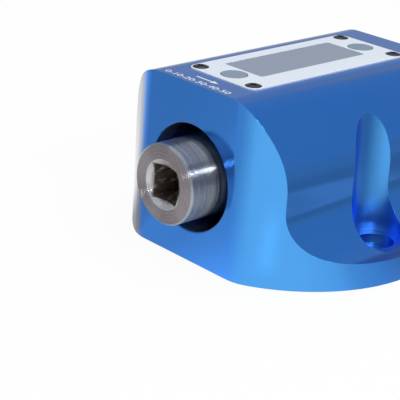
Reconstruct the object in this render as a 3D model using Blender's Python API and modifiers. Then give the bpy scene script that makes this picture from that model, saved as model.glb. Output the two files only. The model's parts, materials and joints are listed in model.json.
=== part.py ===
"""Electronic torque tester: a milled housing with a square-drive transducer and a panel with a display.

Metres, Z up. The origin is the middle of the foot on the bench. The drive looks towards -Y.
"""

import math

import bmesh
import bpy
from mathutils import Matrix, Vector

MM = 0.001

# Clearances
SEAT = 0.3 * MM
OVERCUT = 1.0 * MM

# Housing: the foot
FOOT_RADIUS = 60.0 * MM
FOOT_FLAT_CUT = 6.0 * MM
FOOT_CORNER_RADIUS = 16.7 * MM
FLANGE_HEIGHT = 9.5 * MM

# Housing: the section of the body, the same all along Y
SIDE_SWELL = 21.5 * MM
SHOULDER_RADIUS = 15.0 * MM
SIDE_HEIGHT = 5.5 * MM
COVE_RADIUS = 20.0 * MM
TOP_RIM = 1.4 * MM

# Housing: the mounting pockets and their bolt holes
POCKET_RADIUS = 11.3 * MM
POCKET_FROM_EDGE = 14.7 * MM
POCKET_ABOVE_FLANGE = 0.2 * MM
BOLT_HEAD_RADIUS = 6.75 * MM
BOLT_HEAD_DEPTH = 5.0 * MM
BOLT_RADIUS = 4.5 * MM

# Transducer
DRIVE_HEIGHT = 31.6 * MM
DRIVE_RADIUS = 15.0 * MM
DRIVE_PROUD = 12.0 * MM
DRIVE_LENGTH = 52.0 * MM
DRIVE_CHAMFER = 0.7 * MM
SQUARE_ACROSS_FLATS = 13.0 * MM
SQUARE_DEPTH = 17.0 * MM
LEAD_IN_WIDTH = 2.9 * MM
LEAD_IN_ANGLE = math.radians(30)
DETENT_DEPTH = 1.2 * MM
DETENT_START = 7.5 * MM
DETENT_WIDTH = 3.0 * MM
NECK_RADIUS = 11.0 * MM
NECK_FILLET = 4.0 * MM
TRANSDUCER_FLANGE_THICKNESS = 16.0 * MM
REAR_WALL = 18.0 * MM
BORE_GAP = 5.1 * MM
BORE_CHAMFER = 0.4 * MM

# Transducer screws
SCREW_COUNT = 6
SCREW_FROM_EDGE = 5.3 * MM
SCREW_RADIUS = 2.5 * MM
SCREW_HEAD_RADIUS = 4.25 * MM
SCREW_HEAD_HEIGHT = 5.0 * MM
SCREW_GRIP = 10.0 * MM
SCREW_HEAD_SUNK = 0.6 * MM
HEX_ACROSS_FLATS = 4.0 * MM
HEX_DEPTH = 2.5 * MM

# Gauges and their lead
GAUGE_COUNT = 4
GAUGE_LENGTH = 9.0 * MM
GAUGE_WIDTH = 6.0 * MM
GAUGE_THICKNESS = 0.4 * MM
GAUGE_FLAT_DEPTH = 0.5 * MM
LEAD_RADIUS = 1.2 * MM
LEAD_HOLE_RADIUS = 2.5 * MM

# Face panel
PANEL_WIDTH = 34.2 * MM
PANEL_FROM_END = 12.0 * MM
PANEL_CORNER_RADIUS = 3.7 * MM
PANEL_THICKNESS = 2.2 * MM
PANEL_PROUD = 0.4 * MM
PANEL_EDGE = 0.2 * MM
PANEL_SCREW_FROM_SIDE = 3.55 * MM
PANEL_SCREW_FROM_END = 3.85 * MM
PANEL_SCREW_HEAD_RADIUS = 2.8 * MM
PANEL_SCREW_HEAD_HEIGHT = 1.2 * MM
PANEL_SCREW_RADIUS = 1.5 * MM
PANEL_SCREW_LENGTH = 7.0 * MM
PANEL_SCREW_CROWN = 0.4 * MM
PANEL_SCREW_CROWN_RADIUS = 2.0 * MM
CROSS_LENGTH = 3.0 * MM
CROSS_WIDTH = 0.7 * MM
CROSS_DEPTH = 0.7 * MM

# Keys and their switches
KEY_RADIUS = 4.8 * MM
KEY_FROM_END = 7.6 * MM
KEY_PROUD = 0.1 * MM
KEY_EDGE = 0.2 * MM
KEY_FLANGE = 0.8 * MM
KEY_FLANGE_THICKNESS = 0.6 * MM
KEY_TRAVEL = 0.35 * MM
KEY_STEM_RADIUS = 1.5 * MM
KEY_STEM_LENGTH = 1.2 * MM
SWITCH_SIZE = 5.0 * MM
SWITCH_PLUNGER_RADIUS = 1.2 * MM
SWITCH_PLUNGER_HEIGHT = 0.4 * MM

# Display window
WINDOW_FROM_LEFT = 5.6 * MM
WINDOW_FROM_RIGHT = 9.7 * MM
WINDOW_FROM_KEY = 1.8 * MM
WINDOW_CORNER_RADIUS = 1.0 * MM
WINDOW_THICKNESS = 0.9 * MM
WINDOW_SUNK = 0.1 * MM
WINDOW_LEDGE = 1.2 * MM

# Electronics tray milled under the panel
TRAY_WEB = 3.0 * MM
TRAY_FROM_SIDE = 2.5 * MM
TRAY_FROM_SCREW = 3.2 * MM
TRAY_KEY_SIDE_ROOM = 1.9 * MM
TRAY_KEY_END_ROOM = 0.6 * MM
TRAY_CORNER_RADIUS = 2.0 * MM
BATTERY_THICKNESS = 4.0 * MM
BATTERY_TOP_ROOM = 0.8 * MM
BATTERY_SIDE_ROOM = 0.9 * MM
BATTERY_END_ROOM = 2.8 * MM
BATTERY_EDGE = 0.8 * MM
BOARD_THICKNESS = 1.2 * MM
BOARD_MARGIN = 0.8 * MM
STANDOFF_RADIUS = 2.0 * MM
STANDOFF_FROM_SIDE = 2.7 * MM
STANDOFF_FROM_END = 3.2 * MM
STANDOFF_HOLE_RADIUS = 1.1 * MM
STANDOFF_FLOOR = 0.5 * MM
BOARD_SCREW_RADIUS = 0.8 * MM
BOARD_SCREW_HEAD_RADIUS = 1.6 * MM
BOARD_SCREW_HEAD_HEIGHT = 0.9 * MM
BOARD_SCREW_LENGTH = 4.0 * MM
LCD_THICKNESS = 3.4 * MM
LCD_MARGIN = 0.4 * MM
CHIP_SIZE = 6.0 * MM
CHIP_THICKNESS = 1.0 * MM
CHIP_FROM_SIDE = 5.6 * MM
CHIP_FROM_LEAD = 5.2 * MM

# Charging port in the rear wall
PORT_WIDTH = 9.0 * MM
PORT_HEIGHT = 3.3 * MM
PORT_DEPTH = 8.0 * MM
PORT_WALL = 0.5 * MM
PORT_CORNER_RADIUS = 1.2 * MM
PORT_SUNK = 0.5 * MM
PORT_ABOVE_TRAY_FLOOR = 4.0 * MM
PORT_TONGUE_THICKNESS = 0.7 * MM
PORT_TONGUE_WIDTH = 5.5 * MM
PORT_BACK_THICKNESS = 1.0 * MM

# Sizes that follow: heights, from the drive axis up to the top
BORE_RADIUS = DRIVE_RADIUS + BORE_GAP
TRAY_FLOOR = DRIVE_HEIGHT + BORE_RADIUS + TRAY_WEB
BATTERY_BOTTOM = TRAY_FLOOR + SEAT
BATTERY_TOP = BATTERY_BOTTOM + BATTERY_THICKNESS
BOARD_BOTTOM = BATTERY_TOP + BATTERY_TOP_ROOM
BOARD_TOP = BOARD_BOTTOM + BOARD_THICKNESS
LCD_BOTTOM = BOARD_TOP + SEAT
LCD_TOP = LCD_BOTTOM + LCD_THICKNESS
PANEL_BOTTOM = LCD_TOP + SEAT
PANEL_TOP = PANEL_BOTTOM + PANEL_THICKNESS
PANEL_SEAT = PANEL_BOTTOM - SEAT
HOUSING_HEIGHT = PANEL_TOP - PANEL_PROUD
WINDOW_TOP = PANEL_TOP - WINDOW_SUNK
WINDOW_BOTTOM = WINDOW_TOP - WINDOW_THICKNESS
KEY_TOP = PANEL_TOP + KEY_PROUD
KEY_FLANGE_TOP = PANEL_BOTTOM - SEAT
KEY_BOTTOM = KEY_FLANGE_TOP - KEY_FLANGE_THICKNESS - KEY_STEM_LENGTH
SWITCH_TOP = KEY_BOTTOM - KEY_TRAVEL - SEAT / 2
PANEL_SCREW_TOP = PANEL_TOP + PANEL_SCREW_CROWN
PANEL_SCREW_UNDER_HEAD = PANEL_TOP - PANEL_SCREW_HEAD_HEIGHT
PORT_AXIS = TRAY_FLOOR + PORT_ABOVE_TRAY_FLOOR
POCKET_FLOOR = FLANGE_HEIGHT + POCKET_ABOVE_FLANGE
SIDE_TOP = FLANGE_HEIGHT + COVE_RADIUS + SIDE_HEIGHT

# Sizes that follow: places along Y
FOOT_HALF_LENGTH = FOOT_RADIUS - FOOT_FLAT_CUT
FRONT_Y = -FOOT_HALF_LENGTH
REAR_Y = FOOT_HALF_LENGTH
DRIVE_FACE_Y = FRONT_Y - DRIVE_PROUD
NECK_START_Y = DRIVE_FACE_Y + DRIVE_LENGTH
BORE_END_Y = REAR_Y - REAR_WALL
FLANGE_END_Y = BORE_END_Y - SEAT
FLANGE_START_Y = FLANGE_END_Y - TRANSDUCER_FLANGE_THICKNESS
NECK_MIDDLE_Y = (NECK_START_Y + FLANGE_START_Y) / 2
LEAD_Y = FLANGE_START_Y - NECK_FILLET - LEAD_RADIUS
PANEL_HALF_LENGTH = FOOT_HALF_LENGTH - PANEL_FROM_END
PANEL_SCREW_Y = PANEL_HALF_LENGTH - PANEL_SCREW_FROM_END
KEY_Y = PANEL_HALF_LENGTH - KEY_FROM_END
WINDOW_HALF_LENGTH = KEY_Y - KEY_RADIUS - WINDOW_FROM_KEY
TRAY_HALF_LENGTH = PANEL_SCREW_Y - PANEL_SCREW_RADIUS - SEAT - TRAY_FROM_SCREW
STANDOFF_Y = TRAY_HALF_LENGTH - STANDOFF_FROM_END
BATTERY_FRONT_Y = -TRAY_HALF_LENGTH + BATTERY_END_ROOM
BATTERY_REAR_Y = LEAD_Y - LEAD_HOLE_RADIUS - SEAT
CHIP_Y = LEAD_Y + CHIP_FROM_LEAD

# Sizes that follow: places across and radii
PANEL_HALF_WIDTH = PANEL_WIDTH / 2
TOP_HALF_WIDTH = PANEL_HALF_WIDTH + TOP_RIM
BODY_HALF_WIDTH = TOP_HALF_WIDTH + SIDE_SWELL
POCKET_X = FOOT_RADIUS - POCKET_FROM_EDGE
FLANGE_RADIUS = BORE_RADIUS - SEAT
SCREW_CIRCLE_RADIUS = FLANGE_RADIUS - SCREW_FROM_EDGE
LEAD_IN_RADIUS = SQUARE_ACROSS_FLATS / 2 + LEAD_IN_WIDTH
DETENT_RADIUS = SQUARE_ACROSS_FLATS / 2 + DETENT_DEPTH
GAUGE_FLAT = NECK_RADIUS - GAUGE_FLAT_DEPTH
PANEL_SCREW_X = PANEL_HALF_WIDTH - PANEL_SCREW_FROM_SIDE
WINDOW_LEFT = -PANEL_HALF_WIDTH + WINDOW_FROM_LEFT
WINDOW_RIGHT = PANEL_HALF_WIDTH - WINDOW_FROM_RIGHT
KEY_FLANGE_RADIUS = KEY_RADIUS + SEAT + KEY_FLANGE
TRAY_HALF_WIDTH = PANEL_HALF_WIDTH - TRAY_FROM_SIDE
TRAY_KEY_HALF_WIDTH = KEY_FLANGE_RADIUS + TRAY_KEY_SIDE_ROOM
TRAY_KEY_HALF_LENGTH = KEY_Y + KEY_FLANGE_RADIUS + TRAY_KEY_END_ROOM
STANDOFF_X = TRAY_HALF_WIDTH - STANDOFF_FROM_SIDE
BATTERY_HALF_WIDTH = STANDOFF_X - STANDOFF_RADIUS - BATTERY_SIDE_ROOM
CHIP_X = -TRAY_HALF_WIDTH + CHIP_FROM_SIDE

# Numbers of sides and steps
FINE_SIDES = 72
POCKET_SIDES = 56
ROUND_SIDES = 40
SMALL_SIDES = 24
HIDDEN_SIDES = 14
QUARTER_STEPS = 6
FOOT_STEPS = 56
CORNER_STEPS = 8
FILLET_STEPS = 4
BARREL_STEPS = 16
SMOOTH_ANGLE = math.radians(30)


def clear_scene():
    for item in list(bpy.data.objects):
        bpy.data.objects.remove(item, do_unlink=True)


def new_collection(name):
    collection = bpy.data.collections.new(name)
    bpy.context.scene.collection.children.link(collection)
    return collection


def add_object(name, mesh, collection):
    made = bpy.data.objects.new(name, mesh)
    collection.objects.link(made)
    return made


# Outlines in one plane


def arc(centre, radius, start, end, steps):
    """Points on an arc, both ends included, with the angles in radians."""
    turn = (end - start) / steps
    angles = [start + turn * step for step in range(steps + 1)]
    return [(centre[0] + radius * math.cos(a), centre[1] + radius * math.sin(a)) for a in angles]


def rounded_rectangle(low, high, radius):
    """A rectangle with equal rounded corners, anticlockwise."""
    inner_low = (low[0] + radius, low[1] + radius)
    inner_high = (high[0] - radius, high[1] - radius)
    corners = [inner_high, (inner_low[0], inner_high[1]), inner_low, (inner_high[0], inner_low[1])]
    points = []
    for turn, corner in enumerate(corners):
        start = turn * math.pi / 2
        points += arc(corner, radius, start, start + math.pi / 2, QUARTER_STEPS)
    return points


def foot_outline():
    """The foot from above: a circle cut by two flats, each met by a small corner arc."""
    inner = FOOT_RADIUS - FOOT_CORNER_RADIUS
    corner_y = FOOT_HALF_LENGTH - FOOT_CORNER_RADIUS
    corner_x = math.sqrt(inner**2 - corner_y**2)
    tangent = math.atan2(corner_y, corner_x)
    front_corner = arc((corner_x, -corner_y), FOOT_CORNER_RADIUS, -math.pi / 2, -tangent, CORNER_STEPS)
    side = arc((0, 0), FOOT_RADIUS, -tangent, tangent, FOOT_STEPS)
    rear_corner = arc((corner_x, corner_y), FOOT_CORNER_RADIUS, tangent, math.pi / 2, CORNER_STEPS)
    half = front_corner + side[1:-1] + rear_corner
    other_half = [(-x, -y) for x, y in half]
    return half + other_half


def body_section():
    """The body seen along Y: flat top, soft shoulder, swelling side, cove and the top of the foot.

    The side's arc starts upright at the top of the straight side and meets the shoulder's arc smoothly,
    which sets its radius.
    """
    across = SIDE_SWELL
    up = HOUSING_HEIGHT - SHOULDER_RADIUS - SIDE_TOP
    side_radius = (across**2 + up**2 - SHOULDER_RADIUS**2) / (2 * (across - SHOULDER_RADIUS))
    side = (BODY_HALF_WIDTH - side_radius, SIDE_TOP)
    shoulder = (TOP_HALF_WIDTH, HOUSING_HEIGHT - SHOULDER_RADIUS)
    tangent = math.atan2(up, shoulder[0] - side[0])
    cove = (BODY_HALF_WIDTH + COVE_RADIUS, FLANGE_HEIGHT + COVE_RADIUS)
    edge_x = FOOT_RADIUS + COVE_RADIUS
    right = [(edge_x, -OVERCUT), (edge_x, FLANGE_HEIGHT)]
    right += arc(cove, COVE_RADIUS, -math.pi / 2, -math.pi, BARREL_STEPS)
    right += arc(side, side_radius, 0, tangent, BARREL_STEPS)
    right += arc(shoulder, SHOULDER_RADIUS, tangent, math.pi / 2, CORNER_STEPS)[1:]
    left = [(-x, z) for x, z in reversed(right)]
    return right + left


# Solids


def extruded(name, outline, low, high, along, collection):
    """A flat outline extruded between two positions on the axis named by along."""
    curve = bpy.data.curves.new(name, "CURVE")
    curve.dimensions = "2D"
    curve.fill_mode = "BOTH"
    curve.extrude = (high - low) / 2
    spline = curve.splines.new("POLY")
    spline.points.add(len(outline) - 1)
    for point, (x, y) in zip(spline.points, outline):
        point.co = (x, y, 0, 1)
    spline.use_cyclic_u = True
    drawn = add_object(name + "_outline", curve, collection)
    bpy.context.view_layer.update()
    graph = bpy.context.evaluated_depsgraph_get()
    mesh = bpy.data.meshes.new_from_object(drawn.evaluated_get(graph))
    bpy.data.objects.remove(drawn, do_unlink=True)
    bpy.data.curves.remove(curve)
    mesh.name = name
    turns = {"Z": Matrix(), "Y": Matrix(((1, 0, 0, 0), (0, 0, -1, 0), (0, 1, 0, 0), (0, 0, 0, 1)))}
    middles = {"Z": Vector((0, 0, (low + high) / 2)), "Y": Vector((0, (low + high) / 2, 0))}
    work = bmesh.new()
    work.from_mesh(mesh)
    bmesh.ops.remove_doubles(work, verts=work.verts, dist=MM / 1000)
    bmesh.ops.dissolve_limit(
        work, angle_limit=math.radians(0.05), verts=work.verts, edges=work.edges, delimit={"NORMAL"}
    )
    bmesh.ops.transform(work, matrix=Matrix.Translation(middles[along]) @ turns[along], verts=work.verts)
    bmesh.ops.recalc_face_normals(work, faces=work.faces)
    work.to_mesh(mesh)
    work.free()
    return add_object(name, mesh, collection)


def box(name, low, high, collection):
    mesh = bpy.data.meshes.new(name)
    size = Vector(high) - Vector(low)
    middle = (Vector(high) + Vector(low)) / 2
    work = bmesh.new()
    bmesh.ops.create_cube(work, size=1, matrix=Matrix.Translation(middle) @ Matrix.Diagonal((*size, 1)))
    work.to_mesh(mesh)
    work.free()
    return add_object(name, mesh, collection)


def placed_along_y(x, y, z):
    """A matrix that stands a shape turned about Z on an axis that runs towards +Y."""
    return Matrix.Translation((x, y, z)) @ Matrix.Rotation(-math.pi / 2, 4, "X")


def drive_place(y):
    """A matrix for what is turned about the drive axis, from y on."""
    return placed_along_y(0, y, DRIVE_HEIGHT)


def upright_place(x, y):
    return Matrix.Translation((x, y, 0))


def box_outline(half_width, half_length, radius):
    """A rounded rectangle about the origin."""
    return rounded_rectangle((-half_width, -half_length), (half_width, half_length), radius)


def turned(name, profile, places, sides, collection):
    """A closed turned solid at each place. The profile runs down its outer side as (radius, height)."""
    mesh = bpy.data.meshes.new(name)
    work = bmesh.new()
    for place in places:
        start = len(work.verts)
        points = [work.verts.new((radius, 0, height)) for radius, height in profile]
        edges = [work.edges.new(pair) for pair in zip(points, points[1:])]
        axis = {"cent": (0, 0, 0), "axis": (0, 0, 1)}
        bmesh.ops.spin(work, geom=points + edges, angle=math.tau, steps=sides, use_merge=True, **axis)
        work.verts.ensure_lookup_table()
        bmesh.ops.transform(work, matrix=place, verts=work.verts[start:])
    bmesh.ops.remove_doubles(work, verts=work.verts, dist=MM / 1000)
    bmesh.ops.recalc_face_normals(work, faces=work.faces)
    work.to_mesh(mesh)
    work.free()
    return add_object(name, mesh, collection)


def cut(part, *tools):
    combine(part, "DIFFERENCE", *tools)


def combine(part, operation, *tools):
    for tool in tools:
        change = part.modifiers.new(tool.name, "BOOLEAN")
        change.operation = operation
        change.solver = "EXACT"
        change.object = tool


def bevel_edges(part, width):
    """A small chamfer on each sharp edge of the shape as it is so far."""
    change = part.modifiers.new("edge", "BEVEL")
    change.width = width
    change.segments = 1
    change.limit_method = "ANGLE"
    change.angle_limit = math.radians(50)


def shade(part):
    """Smooth shading, split where faces meet at a real edge."""
    for polygon in part.data.polygons:
        polygon.use_smooth = True
    split = part.modifiers.new("shading", "EDGE_SPLIT")
    split.use_edge_angle = True
    split.use_edge_sharp = False
    split.split_angle = SMOOTH_ANGLE


def material(name, colour, roughness, metallic):
    made = bpy.data.materials.new(name)
    made.use_nodes = True
    surface = made.node_tree.nodes["Principled BSDF"]
    surface.inputs["Base Color"].default_value = (*colour, 1)
    surface.inputs["Roughness"].default_value = roughness
    surface.inputs["Metallic"].default_value = metallic
    return made


def finish(part, look):
    part.data.materials.clear()
    part.data.materials.append(look)
    shade(part)


# Housing


def screw_places():
    """The screws' places round the drive axis, on the rear face."""
    places = []
    for turn in range(SCREW_COUNT):
        angle = math.tau * turn / SCREW_COUNT
        x = SCREW_CIRCLE_RADIUS * math.cos(angle)
        z = DRIVE_HEIGHT + SCREW_CIRCLE_RADIUS * math.sin(angle)
        places.append((x, z))
    return places


def pocket_cutter(side, cutters):
    """The mounting pocket with its bolt-head seat and bolt hole, as one stepped tool."""
    profile = [
        (0, HOUSING_HEIGHT),
        (POCKET_RADIUS, HOUSING_HEIGHT),
        (POCKET_RADIUS, POCKET_FLOOR),
        (BOLT_HEAD_RADIUS, POCKET_FLOOR),
        (BOLT_HEAD_RADIUS, POCKET_FLOOR - BOLT_HEAD_DEPTH),
        (BOLT_RADIUS, POCKET_FLOOR - BOLT_HEAD_DEPTH),
        (BOLT_RADIUS, -OVERCUT),
        (0, -OVERCUT),
    ]
    return turned("pocket_cutter", profile, [upright_place(side * POCKET_X, 0)], POCKET_SIDES, cutters)


def bore_cutter(cutters):
    """The blind bore from the front, with a small chamfer at its mouth."""
    length = BORE_END_Y - FRONT_Y
    profile = [
        (0, length),
        (BORE_RADIUS, length),
        (BORE_RADIUS, BORE_CHAMFER),
        (BORE_RADIUS + BORE_CHAMFER, 0),
        (BORE_RADIUS + BORE_CHAMFER, -OVERCUT),
        (0, -OVERCUT),
    ]
    return turned("bore_cutter", profile, [drive_place(FRONT_Y)], FINE_SIDES, cutters)


def transducer_screw_cutter(cutters):
    """Clearance holes through the rear wall, each with a seat for its head."""
    seat = SCREW_HEAD_HEIGHT + SCREW_HEAD_SUNK + SEAT
    wall = REAR_Y - BORE_END_Y
    profile = [
        (0, OVERCUT),
        (SCREW_HEAD_RADIUS + SEAT, OVERCUT),
        (SCREW_HEAD_RADIUS + SEAT, -seat),
        (SCREW_RADIUS + SEAT, -seat),
        (SCREW_RADIUS + SEAT, -wall - OVERCUT),
        (0, -wall - OVERCUT),
    ]
    places = [placed_along_y(x, REAR_Y, z) for x, z in screw_places()]
    return turned("transducer_screw_cutter", profile, places, SMALL_SIDES, cutters)


def panel_screw_places():
    return [(x * PANEL_SCREW_X, y * PANEL_SCREW_Y) for x in (-1, 1) for y in (-1, 1)]


def panel_screw_cutter(cutters):
    depth = PANEL_SCREW_LENGTH + SEAT
    profile = [
        (0, OVERCUT),
        (PANEL_SCREW_RADIUS + SEAT, OVERCUT),
        (PANEL_SCREW_RADIUS + SEAT, -depth),
        (0, -depth),
    ]
    places = [Matrix.Translation((x, y, PANEL_SCREW_UNDER_HEAD)) for x, y in panel_screw_places()]
    return turned("panel_screw_cutter", profile, places, HIDDEN_SIDES, cutters)


def lead_hole_cutter(cutters):
    """The passage for the gauge wires through the web between the bore and the tray."""
    bottom = DRIVE_HEIGHT + NECK_RADIUS
    profile = [
        (0, TRAY_FLOOR + OVERCUT),
        (LEAD_HOLE_RADIUS, TRAY_FLOOR + OVERCUT),
        (LEAD_HOLE_RADIUS, bottom),
        (0, bottom),
    ]
    return turned("lead_hole_cutter", profile, [upright_place(0, LEAD_Y)], HIDDEN_SIDES, cutters)


def port_outline(grow):
    """The charging port's rounded outline on the rear face, larger by grow."""
    half_width = PORT_WIDTH / 2 + grow
    half_height = PORT_HEIGHT / 2 + grow
    low = (-half_width, PORT_AXIS - half_height)
    high = (half_width, PORT_AXIS + half_height)
    return rounded_rectangle(low, high, PORT_CORNER_RADIUS + grow)


def tray_cutters(cutters):
    """The electronics tray: a wide middle and a narrower run under both keys."""
    top = HOUSING_HEIGHT + OVERCUT
    made = []
    for name, half_width, half_length in (
        ("tray_cutter", TRAY_HALF_WIDTH, TRAY_HALF_LENGTH),
        ("key_tray_cutter", TRAY_KEY_HALF_WIDTH, TRAY_KEY_HALF_LENGTH),
    ):
        outline = box_outline(half_width, half_length, TRAY_CORNER_RADIUS)
        made.append(extruded(name, outline, TRAY_FLOOR, top, "Z", cutters))
    return made


def panel_outline(grow):
    """The face panel's outline, larger by grow."""
    return box_outline(PANEL_HALF_WIDTH + grow, PANEL_HALF_LENGTH + grow, PANEL_CORNER_RADIUS + grow)


def make_housing(parts, cutters, look):
    housing = extruded("housing", foot_outline(), 0, HOUSING_HEIGHT, "Z", parts)
    reach = FOOT_HALF_LENGTH + OVERCUT
    section = extruded("section_cutter", body_section(), -reach, reach, "Y", cutters)
    combine(housing, "INTERSECT", section)
    cut(housing, bore_cutter(cutters))
    for side in (-1, 1):
        cut(housing, pocket_cutter(side, cutters))
    top = HOUSING_HEIGHT + OVERCUT
    recess = extruded("panel_seat_cutter", panel_outline(SEAT), PANEL_SEAT, top, "Z", cutters)
    cut(housing, recess, *tray_cutters(cutters), panel_screw_cutter(cutters), lead_hole_cutter(cutters))
    port_start = TRAY_KEY_HALF_LENGTH - OVERCUT
    port_hole = extruded("port_cutter", port_outline(SEAT), port_start, REAR_Y + OVERCUT, "Y", cutters)
    cut(housing, transducer_screw_cutter(cutters), port_hole)
    finish(housing, look)


# Transducer


def transducer_profile():
    """From the flange's rear face to the drive face, as radius and distance behind the drive face."""
    neck_start = NECK_START_Y - DRIVE_FACE_Y
    flange_start = FLANGE_START_Y - DRIVE_FACE_Y
    flange_end = FLANGE_END_Y - DRIVE_FACE_Y
    rear_centre = (NECK_RADIUS + NECK_FILLET, flange_start - NECK_FILLET)
    rear_fillet = arc(rear_centre, NECK_FILLET, math.pi / 2, math.pi, FILLET_STEPS)
    step = DRIVE_RADIUS - NECK_RADIUS
    front_fillet = arc((DRIVE_RADIUS, neck_start + step), step, math.pi, math.pi * 3 / 2, FILLET_STEPS)
    profile = [(0, flange_end), (FLANGE_RADIUS, flange_end), (FLANGE_RADIUS, flange_start)]
    profile += rear_fillet + front_fillet
    profile += [(DRIVE_RADIUS, DRIVE_CHAMFER), (DRIVE_RADIUS - DRIVE_CHAMFER, 0), (0, 0)]
    return profile


def lead_in_cutter(cutters):
    """The countersink that leads the square drive in."""
    depth = LEAD_IN_RADIUS * math.tan(LEAD_IN_ANGLE)
    above = OVERCUT / math.tan(LEAD_IN_ANGLE)
    profile = [(0, depth), (LEAD_IN_RADIUS + above, -OVERCUT), (0, -OVERCUT)]
    return turned("lead_in_cutter", profile, [drive_place(DRIVE_FACE_Y)], ROUND_SIDES, cutters)


def detent_cutter(cutters):
    """The groove that the ball of a drive snaps into."""
    end = DETENT_START + DETENT_WIDTH
    profile = [(0, end), (DETENT_RADIUS, end), (DETENT_RADIUS, DETENT_START), (0, DETENT_START)]
    return turned("detent_cutter", profile, [drive_place(DRIVE_FACE_Y)], ROUND_SIDES, cutters)


def tapped_hole_cutter(cutters):
    profile = [
        (0, OVERCUT),
        (SCREW_RADIUS + SEAT, OVERCUT),
        (SCREW_RADIUS + SEAT, -SCREW_GRIP - SEAT),
        (0, -SCREW_GRIP - SEAT),
    ]
    places = [placed_along_y(x, FLANGE_END_Y, z) for x, z in screw_places()]
    return turned("tapped_hole_cutter", profile, places, HIDDEN_SIDES, cutters)


def gauge_frame(index):
    """The frame of one gauge: its X runs along the neck and its Z points out, none of them straight up."""
    roll = Matrix.Rotation(math.tau * (index + 0.5) / GAUGE_COUNT, 4, "Y")
    across = Matrix(((0, 1, 0, 0), (1, 0, 0, 0), (0, 0, 1, 0), (0, 0, 0, 1)))
    return Matrix.Translation((0, NECK_MIDDLE_Y, DRIVE_HEIGHT)) @ roll @ across


def gauge_flat_cutters(cutters):
    """The flats ground on the neck for the gauges."""
    tools = []
    half_length = GAUGE_LENGTH / 2 + OVERCUT
    low = (-half_length, -NECK_RADIUS, GAUGE_FLAT)
    high = (half_length, NECK_RADIUS, FLANGE_RADIUS)
    for index in range(GAUGE_COUNT):
        tool = box("gauge_flat_cutter", low, high, cutters)
        tool.data.transform(gauge_frame(index))
        tool.data.flip_normals()
        tools.append(tool)
    return tools


def make_transducer(parts, cutters, look):
    transducer = turned("transducer", transducer_profile(), [drive_place(DRIVE_FACE_Y)], FINE_SIDES, parts)
    half = SQUARE_ACROSS_FLATS / 2
    square = box(
        "square_cutter",
        (-half, DRIVE_FACE_Y - OVERCUT, DRIVE_HEIGHT - half),
        (half, DRIVE_FACE_Y + SQUARE_DEPTH, DRIVE_HEIGHT + half),
        cutters,
    )
    cut(transducer, square, lead_in_cutter(cutters), detent_cutter(cutters), tapped_hole_cutter(cutters))
    cut(transducer, *gauge_flat_cutters(cutters))
    finish(transducer, look)


def make_gauges(parts, look):
    bottom = GAUGE_FLAT + SEAT
    low = (-GAUGE_LENGTH / 2, -GAUGE_WIDTH / 2, bottom)
    high = (GAUGE_LENGTH / 2, GAUGE_WIDTH / 2, bottom + GAUGE_THICKNESS)
    for index in range(GAUGE_COUNT):
        gauge = box(f"strain_gauge_{index + 1}", low, high, parts)
        gauge.data.transform(gauge_frame(index))
        gauge.data.flip_normals()
        finish(gauge, look)


def make_gauge_lead(parts, look):
    bottom = DRIVE_HEIGHT + NECK_RADIUS + SEAT
    top = BOARD_BOTTOM - SEAT
    profile = [(0, top), (LEAD_RADIUS, top), (LEAD_RADIUS, bottom), (0, bottom)]
    lead = turned("gauge_lead", profile, [upright_place(0, LEAD_Y)], HIDDEN_SIDES, parts)
    finish(lead, look)


def hexagon(radius):
    return arc((0, 0), radius, 0, math.tau * 5 / 6, 5)


def make_transducer_screws(parts, cutters, look):
    """Cap screws: head at the rear face, shank through the wall into the flange."""
    head_seat = REAR_Y - SCREW_HEAD_SUNK - SCREW_HEAD_HEIGHT
    tip = FLANGE_END_Y - SCREW_GRIP
    top = SCREW_HEAD_HEIGHT
    chamfer = SEAT
    profile = [
        (0, top),
        (SCREW_HEAD_RADIUS - chamfer, top),
        (SCREW_HEAD_RADIUS, top - chamfer),
        (SCREW_HEAD_RADIUS, 0),
        (SCREW_RADIUS, 0),
        (SCREW_RADIUS, tip - head_seat),
        (0, tip - head_seat),
    ]
    for index, (x, z) in enumerate(screw_places()):
        screw = turned(
            f"transducer_screw_{index + 1}", profile, [placed_along_y(x, head_seat, z)], SMALL_SIDES, parts
        )
        socket = extruded(
            "hexagon_cutter",
            [(x + u, z + w) for u, w in hexagon(HEX_ACROSS_FLATS / math.sqrt(3))],
            head_seat + top - HEX_DEPTH,
            head_seat + top + OVERCUT,
            "Y",
            cutters,
        )
        cut(screw, socket)
        finish(screw, look)


# Face panel


def head_hole_cutter(cutters):
    """Stepped holes for the panel screws: the head sits in the wide step."""
    head_seat = PANEL_SCREW_UNDER_HEAD - SEAT
    profile = [
        (0, PANEL_TOP + OVERCUT),
        (PANEL_SCREW_HEAD_RADIUS + SEAT, PANEL_TOP + OVERCUT),
        (PANEL_SCREW_HEAD_RADIUS + SEAT, head_seat),
        (PANEL_SCREW_RADIUS + SEAT, head_seat),
        (PANEL_SCREW_RADIUS + SEAT, PANEL_BOTTOM - OVERCUT),
        (0, PANEL_BOTTOM - OVERCUT),
    ]
    places = [upright_place(x, y) for x, y in panel_screw_places()]
    return turned("head_hole_cutter", profile, places, SMALL_SIDES, cutters)


def key_hole_cutter(cutters):
    radius = KEY_RADIUS + SEAT
    profile = [
        (0, PANEL_TOP + OVERCUT),
        (radius, PANEL_TOP + OVERCUT),
        (radius, PANEL_BOTTOM - OVERCUT),
        (0, PANEL_BOTTOM - OVERCUT),
    ]
    places = [upright_place(0, side * KEY_Y) for side in (-1, 1)]
    return turned("key_hole_cutter", profile, places, ROUND_SIDES, cutters)


def window_outline(grow):
    """The display window's outline, larger by grow."""
    half_length = WINDOW_HALF_LENGTH + grow
    low = (WINDOW_LEFT - grow, -half_length)
    high = (WINDOW_RIGHT + grow, half_length)
    return rounded_rectangle(low, high, WINDOW_CORNER_RADIUS)


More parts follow.
